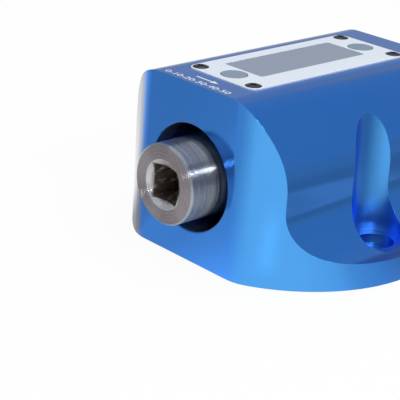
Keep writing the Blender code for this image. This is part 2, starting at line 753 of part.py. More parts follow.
def make_panel(parts, cutters, look):
    panel = extruded("face_panel", panel_outline(0), PANEL_BOTTOM, PANEL_TOP, "Z", parts)
    bevel_edges(panel, PANEL_EDGE)
    low = PANEL_BOTTOM - OVERCUT
    top = PANEL_TOP + OVERCUT
    rebate = extruded("window_seat_cutter", window_outline(SEAT), WINDOW_BOTTOM - SEAT, top, "Z", cutters)
    opening = extruded("window_opening_cutter", window_outline(-WINDOW_LEDGE), low, top, "Z", cutters)
    cut(panel, rebate, opening, head_hole_cutter(cutters), key_hole_cutter(cutters))
    finish(panel, look)


def make_window(parts, look):
    window = extruded("display_window", window_outline(0), WINDOW_BOTTOM, WINDOW_TOP, "Z", parts)
    finish(window, look)


def make_panel_screws(parts, cutters, look):
    """Cross-head screws, their rims level with the panel's face and their crowns a little above it."""
    top = PANEL_SCREW_TOP
    tip = PANEL_SCREW_UNDER_HEAD - PANEL_SCREW_LENGTH
    profile = [
        (0, top),
        (PANEL_SCREW_CROWN_RADIUS, top),
        (PANEL_SCREW_HEAD_RADIUS, PANEL_TOP),
        (PANEL_SCREW_HEAD_RADIUS, PANEL_SCREW_UNDER_HEAD),
        (PANEL_SCREW_RADIUS, PANEL_SCREW_UNDER_HEAD),
        (PANEL_SCREW_RADIUS, tip),
        (0, tip),
    ]
    for index, (x, y) in enumerate(panel_screw_places()):
        screw = turned(f"panel_screw_{index + 1}", profile, [upright_place(x, y)], SMALL_SIDES, parts)
        for half_x, half_y in ((CROSS_LENGTH / 2, CROSS_WIDTH / 2), (CROSS_WIDTH / 2, CROSS_LENGTH / 2)):
            slot = box(
                "cross_cutter",
                (x - half_x, y - half_y, top - CROSS_DEPTH),
                (x + half_x, y + half_y, top + OVERCUT),
                cutters,
            )
            cut(screw, slot)
        finish(screw, look)


def make_key(name, y, parts, look):
    """A key cap with a flange that holds it under the panel and a stem above its switch."""
    flange_bottom = KEY_FLANGE_TOP - KEY_FLANGE_THICKNESS
    profile = [
        (0, KEY_TOP),
        (KEY_RADIUS - KEY_EDGE, KEY_TOP),
        (KEY_RADIUS, KEY_TOP - KEY_EDGE),
        (KEY_RADIUS, KEY_FLANGE_TOP),
        (KEY_FLANGE_RADIUS, KEY_FLANGE_TOP),
        (KEY_FLANGE_RADIUS, flange_bottom),
        (KEY_STEM_RADIUS, flange_bottom),
        (KEY_STEM_RADIUS, KEY_BOTTOM),
        (0, KEY_BOTTOM),
    ]
    key = turned(name, profile, [Matrix()], ROUND_SIDES, parts)
    key.location = (0, y, 0)
    finish(key, look)


def make_switch(name, y, parts, cutters, look):
    """The tactile switch on the board below a key, with its round plunger."""
    half = SWITCH_SIZE / 2
    body_top = SWITCH_TOP - SWITCH_PLUNGER_HEIGHT
    switch = box(name, (-half, y - half, BOARD_TOP + SEAT), (half, y + half, body_top), parts)
    root = (body_top + BOARD_TOP + SEAT) / 2
    profile = [(0, SWITCH_TOP), (SWITCH_PLUNGER_RADIUS, SWITCH_TOP), (SWITCH_PLUNGER_RADIUS, root), (0, root)]
    plunger = turned("plunger", profile, [upright_place(0, y)], HIDDEN_SIDES, cutters)
    combine(switch, "UNION", plunger)
    finish(switch, look)


# Electronics


def standoff_places():
    return [(x * STANDOFF_X, y * STANDOFF_Y) for x in (-1, 1) for y in (-1, 1)]


def make_board(parts, cutters, look):
    """The board fills the tray's middle and reaches under both keys."""
    half_width = TRAY_HALF_WIDTH - BOARD_MARGIN
    half_length = TRAY_HALF_LENGTH - BOARD_MARGIN
    outline = box_outline(half_width, half_length, TRAY_CORNER_RADIUS)
    board = extruded("circuit_board", outline, BOARD_BOTTOM, BOARD_TOP, "Z", parts)
    tongue_corner = (TRAY_KEY_HALF_WIDTH - BOARD_MARGIN, TRAY_KEY_HALF_LENGTH - BOARD_MARGIN)
    low = (-tongue_corner[0], -tongue_corner[1], BOARD_BOTTOM)
    tongue = box("board_tongue", low, (*tongue_corner, BOARD_TOP), cutters)
    combine(board, "UNION", tongue)
    profile = [
        (0, BOARD_TOP + OVERCUT),
        (BOARD_SCREW_RADIUS + SEAT, BOARD_TOP + OVERCUT),
        (BOARD_SCREW_RADIUS + SEAT, BOARD_BOTTOM - OVERCUT),
        (0, BOARD_BOTTOM - OVERCUT),
    ]
    places = [upright_place(x, y) for x, y in standoff_places()]
    cut(board, turned("board_hole_cutter", profile, places, HIDDEN_SIDES, cutters))
    finish(board, look)


def make_standoffs(parts, look):
    """Tubular standoffs, each open at the top for its screw."""
    bottom = TRAY_FLOOR + SEAT
    top = BOARD_BOTTOM - SEAT
    profile = [
        (0, bottom + STANDOFF_FLOOR),
        (STANDOFF_HOLE_RADIUS, bottom + STANDOFF_FLOOR),
        (STANDOFF_HOLE_RADIUS, top),
        (STANDOFF_RADIUS, top),
        (STANDOFF_RADIUS, bottom),
        (0, bottom),
    ]
    for index, (x, y) in enumerate(standoff_places()):
        standoff = turned(f"standoff_{index + 1}", profile, [upright_place(x, y)], HIDDEN_SIDES, parts)
        finish(standoff, look)


def make_board_screws(parts, look):
    under_head = BOARD_TOP + SEAT
    top = under_head + BOARD_SCREW_HEAD_HEIGHT
    profile = [
        (0, top),
        (BOARD_SCREW_HEAD_RADIUS, top),
        (BOARD_SCREW_HEAD_RADIUS, under_head),
        (BOARD_SCREW_RADIUS, under_head),
        (BOARD_SCREW_RADIUS, under_head - BOARD_SCREW_LENGTH),
        (0, under_head - BOARD_SCREW_LENGTH),
    ]
    for index, (x, y) in enumerate(standoff_places()):
        screw = turned(f"board_screw_{index + 1}", profile, [upright_place(x, y)], HIDDEN_SIDES, parts)
        finish(screw, look)


def make_battery(parts, look):
    low = (-BATTERY_HALF_WIDTH, BATTERY_FRONT_Y, BATTERY_BOTTOM)
    high = (BATTERY_HALF_WIDTH, BATTERY_REAR_Y, BATTERY_TOP)
    battery = box("battery_pack", low, high, parts)
    bevel_edges(battery, BATTERY_EDGE)
    finish(battery, look)


def make_lcd(parts, look):
    """The display module between the board and the panel, a little wider than the opening above it."""
    half_length = WINDOW_HALF_LENGTH - LCD_MARGIN
    low = (WINDOW_LEFT + LCD_MARGIN, -half_length, LCD_BOTTOM)
    high = (WINDOW_RIGHT - LCD_MARGIN, half_length, LCD_TOP)
    finish(box("lcd_module", low, high, parts), look)


def make_chip(parts, look):
    half = CHIP_SIZE / 2
    top = BOARD_BOTTOM - SEAT
    low = (CHIP_X - half, CHIP_Y - half, top - CHIP_THICKNESS)
    high = (CHIP_X + half, CHIP_Y + half, top)
    finish(box("amplifier_chip", low, high, parts), look)


def make_port(parts, cutters, look):
    """The charging port: a shell in the rear wall with a contact tongue inside."""
    mouth = REAR_Y - PORT_SUNK
    back = mouth - PORT_DEPTH
    port = extruded("charging_port", port_outline(0), back, mouth, "Y", parts)
    floor = back + PORT_BACK_THICKNESS
    hollow = extruded("port_hollow", port_outline(-PORT_WALL), floor, mouth + OVERCUT, "Y", cutters)
    half_width = PORT_TONGUE_WIDTH / 2
    half_height = PORT_TONGUE_THICKNESS / 2
    tongue = box(
        "port_tongue",
        (-half_width, back + PORT_BACK_THICKNESS / 2, PORT_AXIS - half_height),
        (half_width, mouth - PORT_BACK_THICKNESS, PORT_AXIS + half_height),
        cutters,
    )
    cut(port, hollow)
    combine(port, "UNION", tongue)
    finish(port, look)


clear_scene()
parts = new_collection("electronic_torque_tester")
cutters = new_collection("cutters")
anodised = material("anodised_blue", (0.03, 0.16, 0.56), 0.35, 0.6)
steel = material("turned_steel", (0.55, 0.54, 0.55), 0.3, 1)
black_steel = material("black_steel", (0.04, 0.04, 0.05), 0.45, 0.8)
white_panel = material("white_panel", (0.88, 0.9, 0.93), 0.4, 0)
grey_pane = material("grey_pane", (0.32, 0.35, 0.4), 0.25, 0)
grey_key = material("grey_key", (0.3, 0.36, 0.42), 0.5, 0)
board_green = material("board_green", (0.03, 0.22, 0.1), 0.5, 0)
black_plastic = material("black_plastic", (0.03, 0.03, 0.03), 0.5, 0)
foil = material("gauge_foil", (0.6, 0.35, 0.12), 0.4, 0)
silver = material("battery_foil", (0.55, 0.55, 0.57), 0.4, 0.9)
brass = material("brass", (0.7, 0.52, 0.22), 0.35, 1)

make_housing(parts, cutters, anodised)
make_transducer(parts, cutters, steel)
make_transducer_screws(parts, cutters, black_steel)
make_gauges(parts, foil)
make_gauge_lead(parts, black_plastic)
make_panel(parts, cutters, white_panel)
make_panel_screws(parts, cutters, black_steel)
make_window(parts, grey_pane)
make_key("key_front", -KEY_Y, parts, grey_key)
make_key("key_rear", KEY_Y, parts, grey_key)
make_switch("key_switch_front", -KEY_Y, parts, cutters, black_plastic)
make_switch("key_switch_rear", KEY_Y, parts, cutters, black_plastic)
make_board(parts, cutters, board_green)
make_standoffs(parts, brass)
make_board_screws(parts, steel)
make_battery(parts, silver)
make_lcd(parts, grey_pane)
make_chip(parts, black_plastic)
make_port(parts, cutters, steel)

for tool in cutters.objects:
    tool.hide_render = True
    tool.display_type = "WIRE"
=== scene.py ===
"""Electronic torque tester: the looks around its CAD model, seen in a plain pale studio.

Metres, Z up, in the CAD model's own frame. Each section is one real piece, or one set of equal pieces.
"""

import json
import math

import bmesh
import bpy
from mathutils import Matrix, Vector


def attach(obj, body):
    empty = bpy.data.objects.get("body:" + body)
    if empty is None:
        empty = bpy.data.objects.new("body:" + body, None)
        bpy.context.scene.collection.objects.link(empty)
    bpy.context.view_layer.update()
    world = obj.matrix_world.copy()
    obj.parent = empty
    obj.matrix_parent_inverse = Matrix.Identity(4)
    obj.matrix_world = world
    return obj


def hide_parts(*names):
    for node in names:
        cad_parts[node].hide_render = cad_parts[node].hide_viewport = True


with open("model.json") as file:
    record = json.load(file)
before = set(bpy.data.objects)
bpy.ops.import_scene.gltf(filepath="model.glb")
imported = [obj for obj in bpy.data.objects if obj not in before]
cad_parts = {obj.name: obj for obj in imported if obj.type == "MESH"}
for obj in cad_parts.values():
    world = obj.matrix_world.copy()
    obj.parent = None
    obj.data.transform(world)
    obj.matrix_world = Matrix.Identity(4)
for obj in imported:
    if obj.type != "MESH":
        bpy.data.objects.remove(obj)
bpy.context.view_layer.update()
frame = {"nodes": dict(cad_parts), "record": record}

# Housing
# One block of aluminium, milled along its length, turned round its foot, bored, and then anodised blue.
# It is the CAD piece with the normals of its true arcs, so that reflections run over it without facets.

MM = 0.001
ARC_TOLERANCE = 0.06 * MM
ARC_TURN = math.radians(5)
DRIVE_HEIGHT = 31.6 * MM
FOOT_RADIUS = 60 * MM
SIDE_RADIUS, SIDE_TOP = 40 * MM, 35 * MM
SHOULDER_RADIUS, SHOULDER_X, SHOULDER_Z = 15 * MM, 18.5 * MM, 51.8 * MM
COVE_RADIUS, COVE_TOP = 20 * MM, 29.5 * MM
FOOT_CORNER = 22.0 * MM, 37.3 * MM, 16.7 * MM
RECESS_CORNER = 13.4 * MM, 38.3 * MM, 4.0 * MM
BORE_RADIUS, BORE_CHAMFER = 20.1 * MM, 0.4 * MM
POCKET_X = 45.3 * MM
POCKET_RADII = 11.3 * MM, 6.75 * MM, 4.5 * MM
REAR_HOLE_RADII = 4.55 * MM, 2.8 * MM
GROOVES_ALONG, GROOVES_ACROSS = 26000.0, 31000.0
GROOVES_FROM_AXIS = 0.1 * MM
EDGE_ROUNDING = 0.2 * MM


class Wire:
    """One value inside a material's node tree. Arithmetic on wires adds Math nodes."""

    def __init__(self, tree, socket=None):
        self.tree = tree
        self.socket = socket

    def node(self, kind, inputs, output=0, stops=(), **settings):
        """Adds a node: its settings and a ramp's grey stops first, then its inputs, by name or number."""
        made = self.tree.nodes.new(kind)
        for name, value in settings.items():
            setattr(made, name, value)
        for index, (position, grey) in enumerate(stops):
            elements = made.color_ramp.elements
            stop = elements[index] if index < 2 else elements.new(position)
            stop.position = position
            stop.color = (grey, grey, grey, 1)
        for name, value in inputs.items():
            self.fill(made.inputs[name], value)
        return Wire(self.tree, made.outputs[output])

    def fill(self, socket, value):
        if isinstance(value, Wire):
            self.tree.links.new(value.socket, socket)
        else:
            socket.default_value = value

    def math(self, operation, first, second=0.0):
        return self.node("ShaderNodeMath", {0: first, 1: second}, operation=operation)

    def __add__(self, other):
        return self.math("ADD", self, other)

    def __radd__(self, other):
        return self.math("ADD", other, self)

    def __sub__(self, other):
        return self.math("SUBTRACT", self, other)

    def __rsub__(self, other):
        return self.math("SUBTRACT", other, self)

    def __mul__(self, other):
        return self.math("MULTIPLY", self, other)

    def __rmul__(self, other):
        return self.math("MULTIPLY", other, self)

    def __truediv__(self, other):
        return self.math("DIVIDE", self, other)

    def __rtruediv__(self, other):
        return self.math("DIVIDE", other, self)

    def __pow__(self, other):
        return self.math("POWER", self, other)

    def ramp(self, low, high, from_value=0.0, to_value=1.0):
        """Runs smoothly from one value to the other while this wire goes from low to high."""
        values = {"Value": self, 1: low, 2: high, 3: from_value, 4: to_value}
        return self.node("ShaderNodeMapRange", values, interpolation_type="SMOOTHSTEP")

    def mix(self, first, second):
        """A colour between two colours, by this wire."""
        return self.node("ShaderNodeMix", {0: self, 6: first, 7: second}, output=2, data_type="RGBA")

    def noise(self, place, scale, detail=2.0):
        """Soft noise at a place; scale is in features per metre."""
        return self.node("ShaderNodeTexNoise", {"Vector": place, "Scale": scale, "Detail": detail})

    def place(self, stretch=(1, 1, 1)):
        """The point on the piece in metres, with its axes stretched for grain that runs one way."""
        point = self.node("ShaderNodeTexCoord", {}, output=3)
        return self.node("ShaderNodeVectorMath", {0: point, 1: stretch}, operation="MULTIPLY")

    def axes(self):
        """The point's three coordinates, in metres, as wires."""
        point = self.place()
        return [self.node("ShaderNodeSeparateXYZ", {0: point}, output=index) for index in range(3)]

    def bump(self, height, depth, rounding=0.0):
        """A normal: height is a wire from 0 to 1, and depth and rounding, the edges' radius, are in metres."""
        values = {"Height": height, "Distance": depth, "Strength": 1.0}
        if rounding:
            values["Normal"] = self.node("ShaderNodeBevel", {"Radius": rounding}, samples=6)
        return self.node("ShaderNodeBump", values)

    def turned(self, normal, axial, radial):
        """The normal of a surface turned on the drive's axis: fine grooves lean it along and off that axis."""
        x, y, z = self.axes()
        up = z - DRIVE_HEIGHT
        radius = (x * x + up * up) ** 0.5
        across = self.node("ShaderNodeCombineXYZ", {0: radius, 1: y, 2: 0.0})
        lean = (self.noise(across, GROOVES_ALONG) - 0.5) * axial
        tilt = (self.noise(across, GROOVES_ACROSS) - 0.5) * radial / (radius + GROOVES_FROM_AXIS)
        grooves = self.node("ShaderNodeCombineXYZ", {0: x * tilt, 1: lean, 2: up * tilt})
        leant = self.node("ShaderNodeVectorMath", {0: normal, 1: grooves}, operation="ADD")
        return self.node("ShaderNodeVectorMath", {0: leant}, operation="NORMALIZE")


def new_material(name, **constants):
    """A Principled material with these constants. It gives the material, its shader node and a first wire."""
    made = bpy.data.materials.new(name)
    made.use_nodes = True
    shader = made.node_tree.nodes["Principled BSDF"]
    for key, value in constants.items():
        shader.inputs[key.replace("_", " ")].default_value = value
    return made, shader, Wire(made.node_tree)


def connect(wire, shader, **inputs):
    for key, value in inputs.items():
        wire.fill(shader.inputs[key.replace("_", " ")], value)


def colour(red, green, blue):
    """A screen colour from 0 to 255 as the linear colour that a shader takes."""
    parts = [value / 255 for value in (red, green, blue)]
    return tuple(p / 12.92 if p <= 0.04045 else ((p + 0.055) / 1.055) ** 2.4 for p in parts) + (1.0,)


def merged_copy(node, name):
    """A copy of a CAD piece whose loose triangles are joined along their edges."""
    source = frame["nodes"][node].data
    work = bmesh.new()
    work.from_mesh(source)
    bmesh.ops.remove_doubles(work, verts=work.verts, dist=MM / 1000)
    mesh = bpy.data.meshes.new(name)
    work.to_mesh(mesh)
    work.free()
    made = bpy.data.objects.new(name, mesh)
    bpy.context.scene.collection.objects.link(made)
    return made


def radial_part(point, centre, axis):
    away = Vector(point) - Vector(centre)
    return away - away.dot(axis) * axis


def smooth_arcs(piece, arcs):
    """Gives each facet of the named arcs the normals of its true round surface, and leaves the rest flat.

    An arc is its axis, a point on it, and the smallest and largest radius of its surface.
    """
    mesh = piece.data
    mesh.polygons.foreach_set("use_smooth", [True] * len(mesh.polygons))
    normals = [Vector((0, 0, 1))] * len(mesh.loops)
    for face in mesh.polygons:
        flat = face.normal.copy()
        corners = [mesh.vertices[index].co for index in face.vertices]
        found = [flat] * len(corners)
        for axis, centre, smallest, largest in arcs:
            outs = [radial_part(corner, centre, axis) for corner in corners]
            if not all(smallest - ARC_TOLERANCE <= out.length <= largest + ARC_TOLERANCE for out in outs):
                continue
            along = flat.dot(axis)
            across = flat - along * axis
            middle = radial_part(face.center, centre, axis)
            if across.length < 1e-3 or middle.length < 1e-9:
                continue
            side = 1 if across.dot(middle) > 0 else -1
            if across.angle(side * middle) > ARC_TURN:
                continue
            found = [along * axis + side * across.length * out.normalized() for out in outs]
            break
        for loop, normal in zip(face.loop_indices, found):
            normals[loop] = normal.normalized()
    mesh.normals_split_custom_set(normals)


def show_as(piece, node, material, body="tester"):
    """The piece takes the CAD node's place, rides on its body and wears this material."""
    piece.data.materials.clear()
    piece.data.materials.append(material)
    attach(piece, body)
    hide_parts(node)


Y_AXIS, Z_AXIS = Vector((0, 1, 0)), Vector((0, 0, 1))
REAR_SCREW_CIRCLE = 14.5 * MM
REAR_SCREW_TURNS = [index * math.pi / 3 for index in range(6)]
REAR_SCREWS = [
    Vector((REAR_SCREW_CIRCLE * math.cos(turn), 0, DRIVE_HEIGHT + REAR_SCREW_CIRCLE * math.sin(turn)))
    for turn in REAR_SCREW_TURNS
]


def housing_arcs():
    """Every round surface of the housing: axis, a point on it, smallest and largest radius."""
    arcs = [
        (Z_AXIS, (0, 0, 0), FOOT_RADIUS, FOOT_RADIUS),
        (Y_AXIS, (0, 0, SIDE_TOP), SIDE_RADIUS, SIDE_RADIUS),
        (Y_AXIS, (0, 0, DRIVE_HEIGHT), BORE_RADIUS, BORE_RADIUS + BORE_CHAMFER),
    ]
    for x in (-1, 1):
        for corner_x, corner_y, radius in (FOOT_CORNER, RECESS_CORNER):
            arcs += [(Z_AXIS, (x * corner_x, y * corner_y, 0), radius, radius) for y in (-1, 1)]
        arcs += [(Z_AXIS, (x * POCKET_X, 0, 0), radius, radius) for radius in POCKET_RADII]
        arcs.append((Y_AXIS, (x * SHOULDER_X, 0, SHOULDER_Z), SHOULDER_RADIUS, SHOULDER_RADIUS))
        arcs.append((Y_AXIS, (x * FOOT_RADIUS, 0, COVE_TOP), COVE_RADIUS, COVE_RADIUS))
    for centre in REAR_SCREWS:
        arcs += [(Y_AXIS, centre, radius, radius) for radius in REAR_HOLE_RADII]
    return arcs


DYED_BLUES = colour(68, 158, 232), colour(72, 161, 236)
SLANT_SHADE_BLUE = colour(54, 146, 250)
PAINTED_SHEEN_GREY = colour(154, 160, 174)
POCKET_BLUE = colour(104, 146, 198)
SPECK_BLUE = colour(110, 180, 245)


def anodised_blue():
    """Dyed, sealed anodising on milled metal: rougher in the bore and the pockets. Its colour carries painted
    shade, a deeper blue where it is seen at a slant, and a painted sheen, paler on the walls at a steeper
    slant.
    """
    made, shader, wire = new_material(
        "anodised_blue", Metallic=0.97, IOR=1.5, Coat_Roughness=0.06, Coat_IOR=1.5
    )
    x, y, z = wire.axes()
    up = z - DRIVE_HEIGHT
    bore = ((x * x + up * up) ** 0.5).ramp(20.3 * MM, 20.6 * MM, 1.0, 0.0)
    bore = bore * y.ramp(-54.5 * MM, -30 * MM, 1.0, 0.3)
    side = x.math("ABSOLUTE", x) - POCKET_X
    pocket = ((side * side + y * y) ** 0.5).ramp(11.4 * MM, 11.8 * MM, 1.0, 0.0)
    cloud = wire.noise(wire.place(), 55.0, 3.0)
    speckle = wire.noise(wire.place(), 1700.0, 2.0)
    milled = wire.noise(wire.place((1, 0.02, 1)), 2600.0, 2.0)
    wear = wire.noise(wire.place((1, 1, 0.15)), 700.0, 4.0).ramp(0.62, 0.75)
    slant = wire.node("ShaderNodeLayerWeight", {"Blend": 0.5}, output=1)
    upright = z.ramp(66.0 * MM, 66.5 * MM, 1.0, 0.0) * (1.0 - pocket)
    pocket_end = pocket * z.ramp(12 * MM, 22 * MM, 0.45, 0.0)
    tint = cloud.mix(*DYED_BLUES)
    # Painted shade: where the surface is seen at a slant, the blue turns a deeper, darker blue.
    tint = slant.ramp(0.05, 0.36).mix(tint, SLANT_SHADE_BLUE)
    # Painted sheen: on the surfaces below the top and outside the pockets, seen at a steeper slant, the blue
    # turns toward a pale silver grey.
    tint = (slant.ramp(0.46, 0.68) * upright).mix(tint, PAINTED_SHEEN_GREY)
    tint = pocket_end.mix(tint, POCKET_BLUE)
    tint = (speckle.ramp(0.55, 0.75) * 0.1).mix(tint, SPECK_BLUE)
    rough = 0.1 + cloud * 0.04 + speckle * 0.03 + wear * 0.03 + bore * 0.12 + pocket * 0.16
    grain = milled * 0.6 + speckle * 0.4
    connect(wire, shader, Base_Color=tint, Roughness=rough, Coat_Weight=0.46 + cloud * 0.1)
    milled_normal = wire.bump(grain, 0.0012 * MM, EDGE_ROUNDING)
    connect(wire, shader, Normal=wire.turned(milled_normal, bore * 6.0, 0.0))
    return made


housing = merged_copy("housing", "housing_body")
smooth_arcs(housing, housing_arcs())
show_as(housing, "housing", anodised_blue())

# Transducer
# One steel turning. Its drive boss stands out of the bore, with a square socket, a countersink that leads
# the square in, and the fine rings that the lathe left on its face and round its outside.

DRIVE_AXIS = (0, 0, DRIVE_HEIGHT)
DRIVE_FACE_Y = -66.0 * MM
DRIVE_RADIUS, DRIVE_CHAMFER = 15.0 * MM, 0.7 * MM
NECK_RADIUS, FLANGE_RADIUS = 11.0 * MM, 19.8 * MM
SQUARE_HALF, LEAD_IN_RADIUS = 6.5 * MM, 9.4 * MM
TUBE_STEEL, FACE_STEEL = colour(180, 187, 196), colour(178, 169, 173)
RING_STEEL, LEAD_IN_STEEL = colour(126, 127, 133), colour(224, 222, 226)
SOCKET_SHADE_STEELS = colour(92, 80, 71), colour(205, 195, 188)


def turned_steel():
    """Bright turned steel with fine rings; the socket is duller and blotched: painted shade darkens it and its
    pale blotches are painted highlights.
    """
    made, shader, wire = new_material("turned_steel", Metallic=1.0)
    x, y, z = wire.axes()
    up = z - DRIVE_HEIGHT
    radius = (x * x + up * up) ** 0.5
    across = wire.node("ShaderNodeCombineXYZ", {0: radius, 1: y, 2: 0.0})
    rings = wire.noise(across, 5200.0, 3.0)
    broad = wire.noise(across, 900.0, 2.0)
    cloud = wire.noise(wire.place(), 300.0, 3.0)
    face = y.ramp(DRIVE_FACE_Y + 0.05 * MM, DRIVE_FACE_Y + 0.1 * MM, 1.0, 0.0)
    socket = y.ramp(DRIVE_FACE_Y + 0.6 * MM, DRIVE_FACE_Y + 2.0 * MM)
    socket = socket * radius.ramp(9.2 * MM, 9.8 * MM, 1.0, 0.0)
    blotch = wire.noise(wire.place((1, 0.4, 1)), 600.0, 5.0).ramp(0.5, 0.74)
    tint = face.mix(TUBE_STEEL, FACE_STEEL)
    tint = (rings * 0.35 + broad * 0.15).mix(tint, RING_STEEL)
    tint = radius.ramp(9.3 * MM, 9.45 * MM, 1.0, 0.0).mix(tint, LEAD_IN_STEEL)
    # Painted shade and painted highlights: the socket's inside is mostly dark brownish steel, blotched with
    # paler spots.
    tint = socket.mix(tint, blotch.mix(*SOCKET_SHADE_STEELS))
    rough = 0.15 + face * 0.05 + rings * 0.1 + cloud * 0.04 + socket * 0.1
    connect(wire, shader, Base_Color=tint, Roughness=rough, Metallic=1.0 - socket * 0.5)
    ringed_normal = wire.bump(rings * 0.7 + broad * 0.3, 0.004 * MM, 0.12 * MM)
    connect(wire, shader, Normal=wire.turned(ringed_normal, 5.5, 3.0 + face * 11.0))
    return made


transducer = merged_copy("transducer", "transducer_body")
smooth_arcs(transducer, [
    (Y_AXIS, DRIVE_AXIS, DRIVE_RADIUS, DRIVE_RADIUS),
    (Y_AXIS, DRIVE_AXIS, DRIVE_RADIUS - DRIVE_CHAMFER, DRIVE_RADIUS),
    (Y_AXIS, DRIVE_AXIS, NECK_RADIUS, NECK_RADIUS),
    (Y_AXIS, DRIVE_AXIS, NECK_RADIUS, DRIVE_RADIUS),
    (Y_AXIS, DRIVE_AXIS, FLANGE_RADIUS, FLANGE_RADIUS),
    (Y_AXIS, DRIVE_AXIS, SQUARE_HALF, LEAD_IN_RADIUS),
])
steel = turned_steel()
show_as(transducer, "transducer", steel)

# Transducer screws
# Six cap screws of blackened steel with hexagon sockets. They go in from behind, through the rear wall, and
# clamp the transducer's flange to it.

REAR_HEAD_RADII = 3.95 * MM, 4.25 * MM
REAR_SHANK_RADIUS = 2.5 * MM


def black_steel():
    made, shader, wire = new_material("black_steel", Metallic=0.85)
    grain = wire.noise(wire.place(), 2400.0, 3.0)
    worn = wire.noise(wire.place(), 900.0, 3.0).ramp(0.6, 0.8)
    tint = worn.mix(colour(70, 68, 73), colour(118, 115, 120))
    connect(wire, shader, Base_Color=tint, Roughness=0.38 + grain * 0.15)
    connect(wire, shader, Normal=wire.bump(grain, 0.004 * MM, 0.12 * MM))
    return made


blackened = black_steel()
for index, centre in enumerate(REAR_SCREWS):
    node = f"transducer_screw_{index + 1}"
    screw = merged_copy(node, f"rear_cap_screw_{index + 1}")
    smooth_arcs(screw, [
        (Y_AXIS, centre, *REAR_HEAD_RADII),
        (Y_AXIS, centre, REAR_SHANK_RADIUS, REAR_SHANK_RADIUS),
    ])
    show_as(screw, node, blackened)

# Face panel
# A white coated plate, let into the top and held at its four corners. It is cut out for the two keys and
# the display window.

PANEL_CORNER_X, PANEL_CORNER_Y, PANEL_CORNER_RADII = 13.4 * MM, 38.3 * MM, (3.5 * MM, 3.7 * MM)
PANEL_SCREW_X, PANEL_SCREW_Y = 13.55 * MM, 38.15 * MM
PANEL_SCREW_HOLE = 3.1 * MM
KEY_Y, KEY_HOLE = 34.4 * MM, 5.1 * MM
FOUR_CORNERS = [(x, y) for x in (-1, 1) for y in (-1, 1)]
PANEL_SCREW_PLACES = [(x * PANEL_SCREW_X, y * PANEL_SCREW_Y, 0) for x, y in FOUR_CORNERS]


def white_panel():
    made, shader, wire = new_material("white_panel", Metallic=0.0, IOR=1.45)
    cloud = wire.noise(wire.place(), 90.0, 3.0)
    grain = wire.noise(wire.place(), 3000.0, 2.0)
    tint = cloud.mix(colour(229, 236, 243), colour(235, 241, 248))
    connect(wire, shader, Base_Color=tint, Roughness=0.4 + grain * 0.12)
    connect(wire, shader, Normal=wire.bump(grain, 0.003 * MM, EDGE_ROUNDING))
    return made


panel = merged_copy("face_panel", "panel_plate")
smooth_arcs(panel, [
    (Z_AXIS, (x * PANEL_CORNER_X, y * PANEL_CORNER_Y, 0), *PANEL_CORNER_RADII) for x, y in FOUR_CORNERS
] + [
    (Z_AXIS, place, PANEL_SCREW_HOLE, PANEL_SCREW_HOLE) for place in PANEL_SCREW_PLACES
] + [
    (Z_AXIS, (0, y * KEY_Y, 0), KEY_HOLE, KEY_HOLE) for y in (-1, 1)
])
show_as(panel, "face_panel", white_panel())

# Panel screws
# Four small screws of blackened steel with crowned heads, each with a cross recess. They hold the panel down
# at its corners.

PANEL_HEAD_RADIUS, PANEL_SHANK_RADIUS, PANEL_CROWN_RADIUS = 2.8 * MM, 1.5 * MM, 2.0 * MM

for index, place in enumerate(PANEL_SCREW_PLACES):
    node = f"panel_screw_{index + 1}"
    screw = merged_copy(node, f"panel_cross_screw_{index + 1}")
    smooth_arcs(screw, [
        (Z_AXIS, place, PANEL_HEAD_RADIUS, PANEL_HEAD_RADIUS),
        (Z_AXIS, place, PANEL_SHANK_RADIUS, PANEL_SHANK_RADIUS),
        (Z_AXIS, place, PANEL_CROWN_RADIUS, PANEL_HEAD_RADIUS),
    ])
    show_as(screw, node, blackened)

# Display window
# A pane of grey tinted plastic, almost flush in the panel. The display under it is switched off, so the pane
# shows an even grey.


def grey_pane():
    made, shader, wire = new_material("grey_pane", IOR=1.5, Coat_Roughness=0.05, Coat_IOR=1.5)
    cloud = wire.noise(wire.place(), 120.0, 2.0)
    grain = wire.noise(wire.place(), 2600.0, 2.0)
    tint = cloud.mix(colour(140, 152, 170), colour(148, 159, 177))
    connect(wire, shader, Base_Color=tint, Roughness=0.3 + grain * 0.08, Coat_Weight=0.2 + cloud * 0.1)
    connect(wire, shader, Normal=wire.bump(grain, 0.001 * MM, 0.1 * MM))
    return made


window = merged_copy("display_window", "display_pane")
smooth_arcs(window, [])
show_as(window, "display_window", grey_pane())

# Keys
# Two round caps of grey moulded plastic, one at each end of the window, held from below by a thin flange.
# Each travels straight down onto its switch, and rides on its own body.

KEY_CAP_RADII = 4.6 * MM, 4.8 * MM
KEY_FLANGE_RADIUS = 5.9 * MM


def grey_key():
    made, shader, wire = new_material("grey_key", IOR=1.45)
    cloud = wire.noise(wire.place(), 200.0, 2.0)
    grain = wire.noise(wire.place(), 4200.0, 2.0)
    tint = cloud.mix(colour(133, 148, 168), colour(142, 156, 175))
    connect(wire, shader, Base_Color=tint, Roughness=0.45 + grain * 0.1)
    connect(wire, shader, Normal=wire.bump(grain, 0.006 * MM, 0.15 * MM))
    return made


key_look = grey_key()
for node, body, y in (("key_front", "front_key", -KEY_Y), ("key_rear", "rear_key", KEY_Y)):
    key = merged_copy(node, node + "_cap")
    smooth_arcs(key, [
        (Z_AXIS, (0, y, 0), *KEY_CAP_RADII),
        (Z_AXIS, (0, y, 0), KEY_FLANGE_RADIUS, KEY_FLANGE_RADIUS),
    ])
    show_as(key, node, key_look, body)

# Direction arrow and number row
# White print on the strip in front of the panel: an arrow that shows the sense of the load, and a plain
# row of numbers, as on a dial.

PRINT_Z = 66.82 * MM
ROW_X, ROW_Y = -1.4 * MM, -52.15 * MM
ROW_WIDTH, ROW_HEIGHT = 32.8 * MM, 2.5 * MM
LETTER_SWELL = 0.008
ARROW_Y = -46.8 * MM
ARROW_OUTLINE = [(-6.4, -0.4), (1.6, -0.4), (1.6, -1.2), (5.0, 0), (1.6, 1.2), (1.6, 0.4), (-6.4, 0.4)]


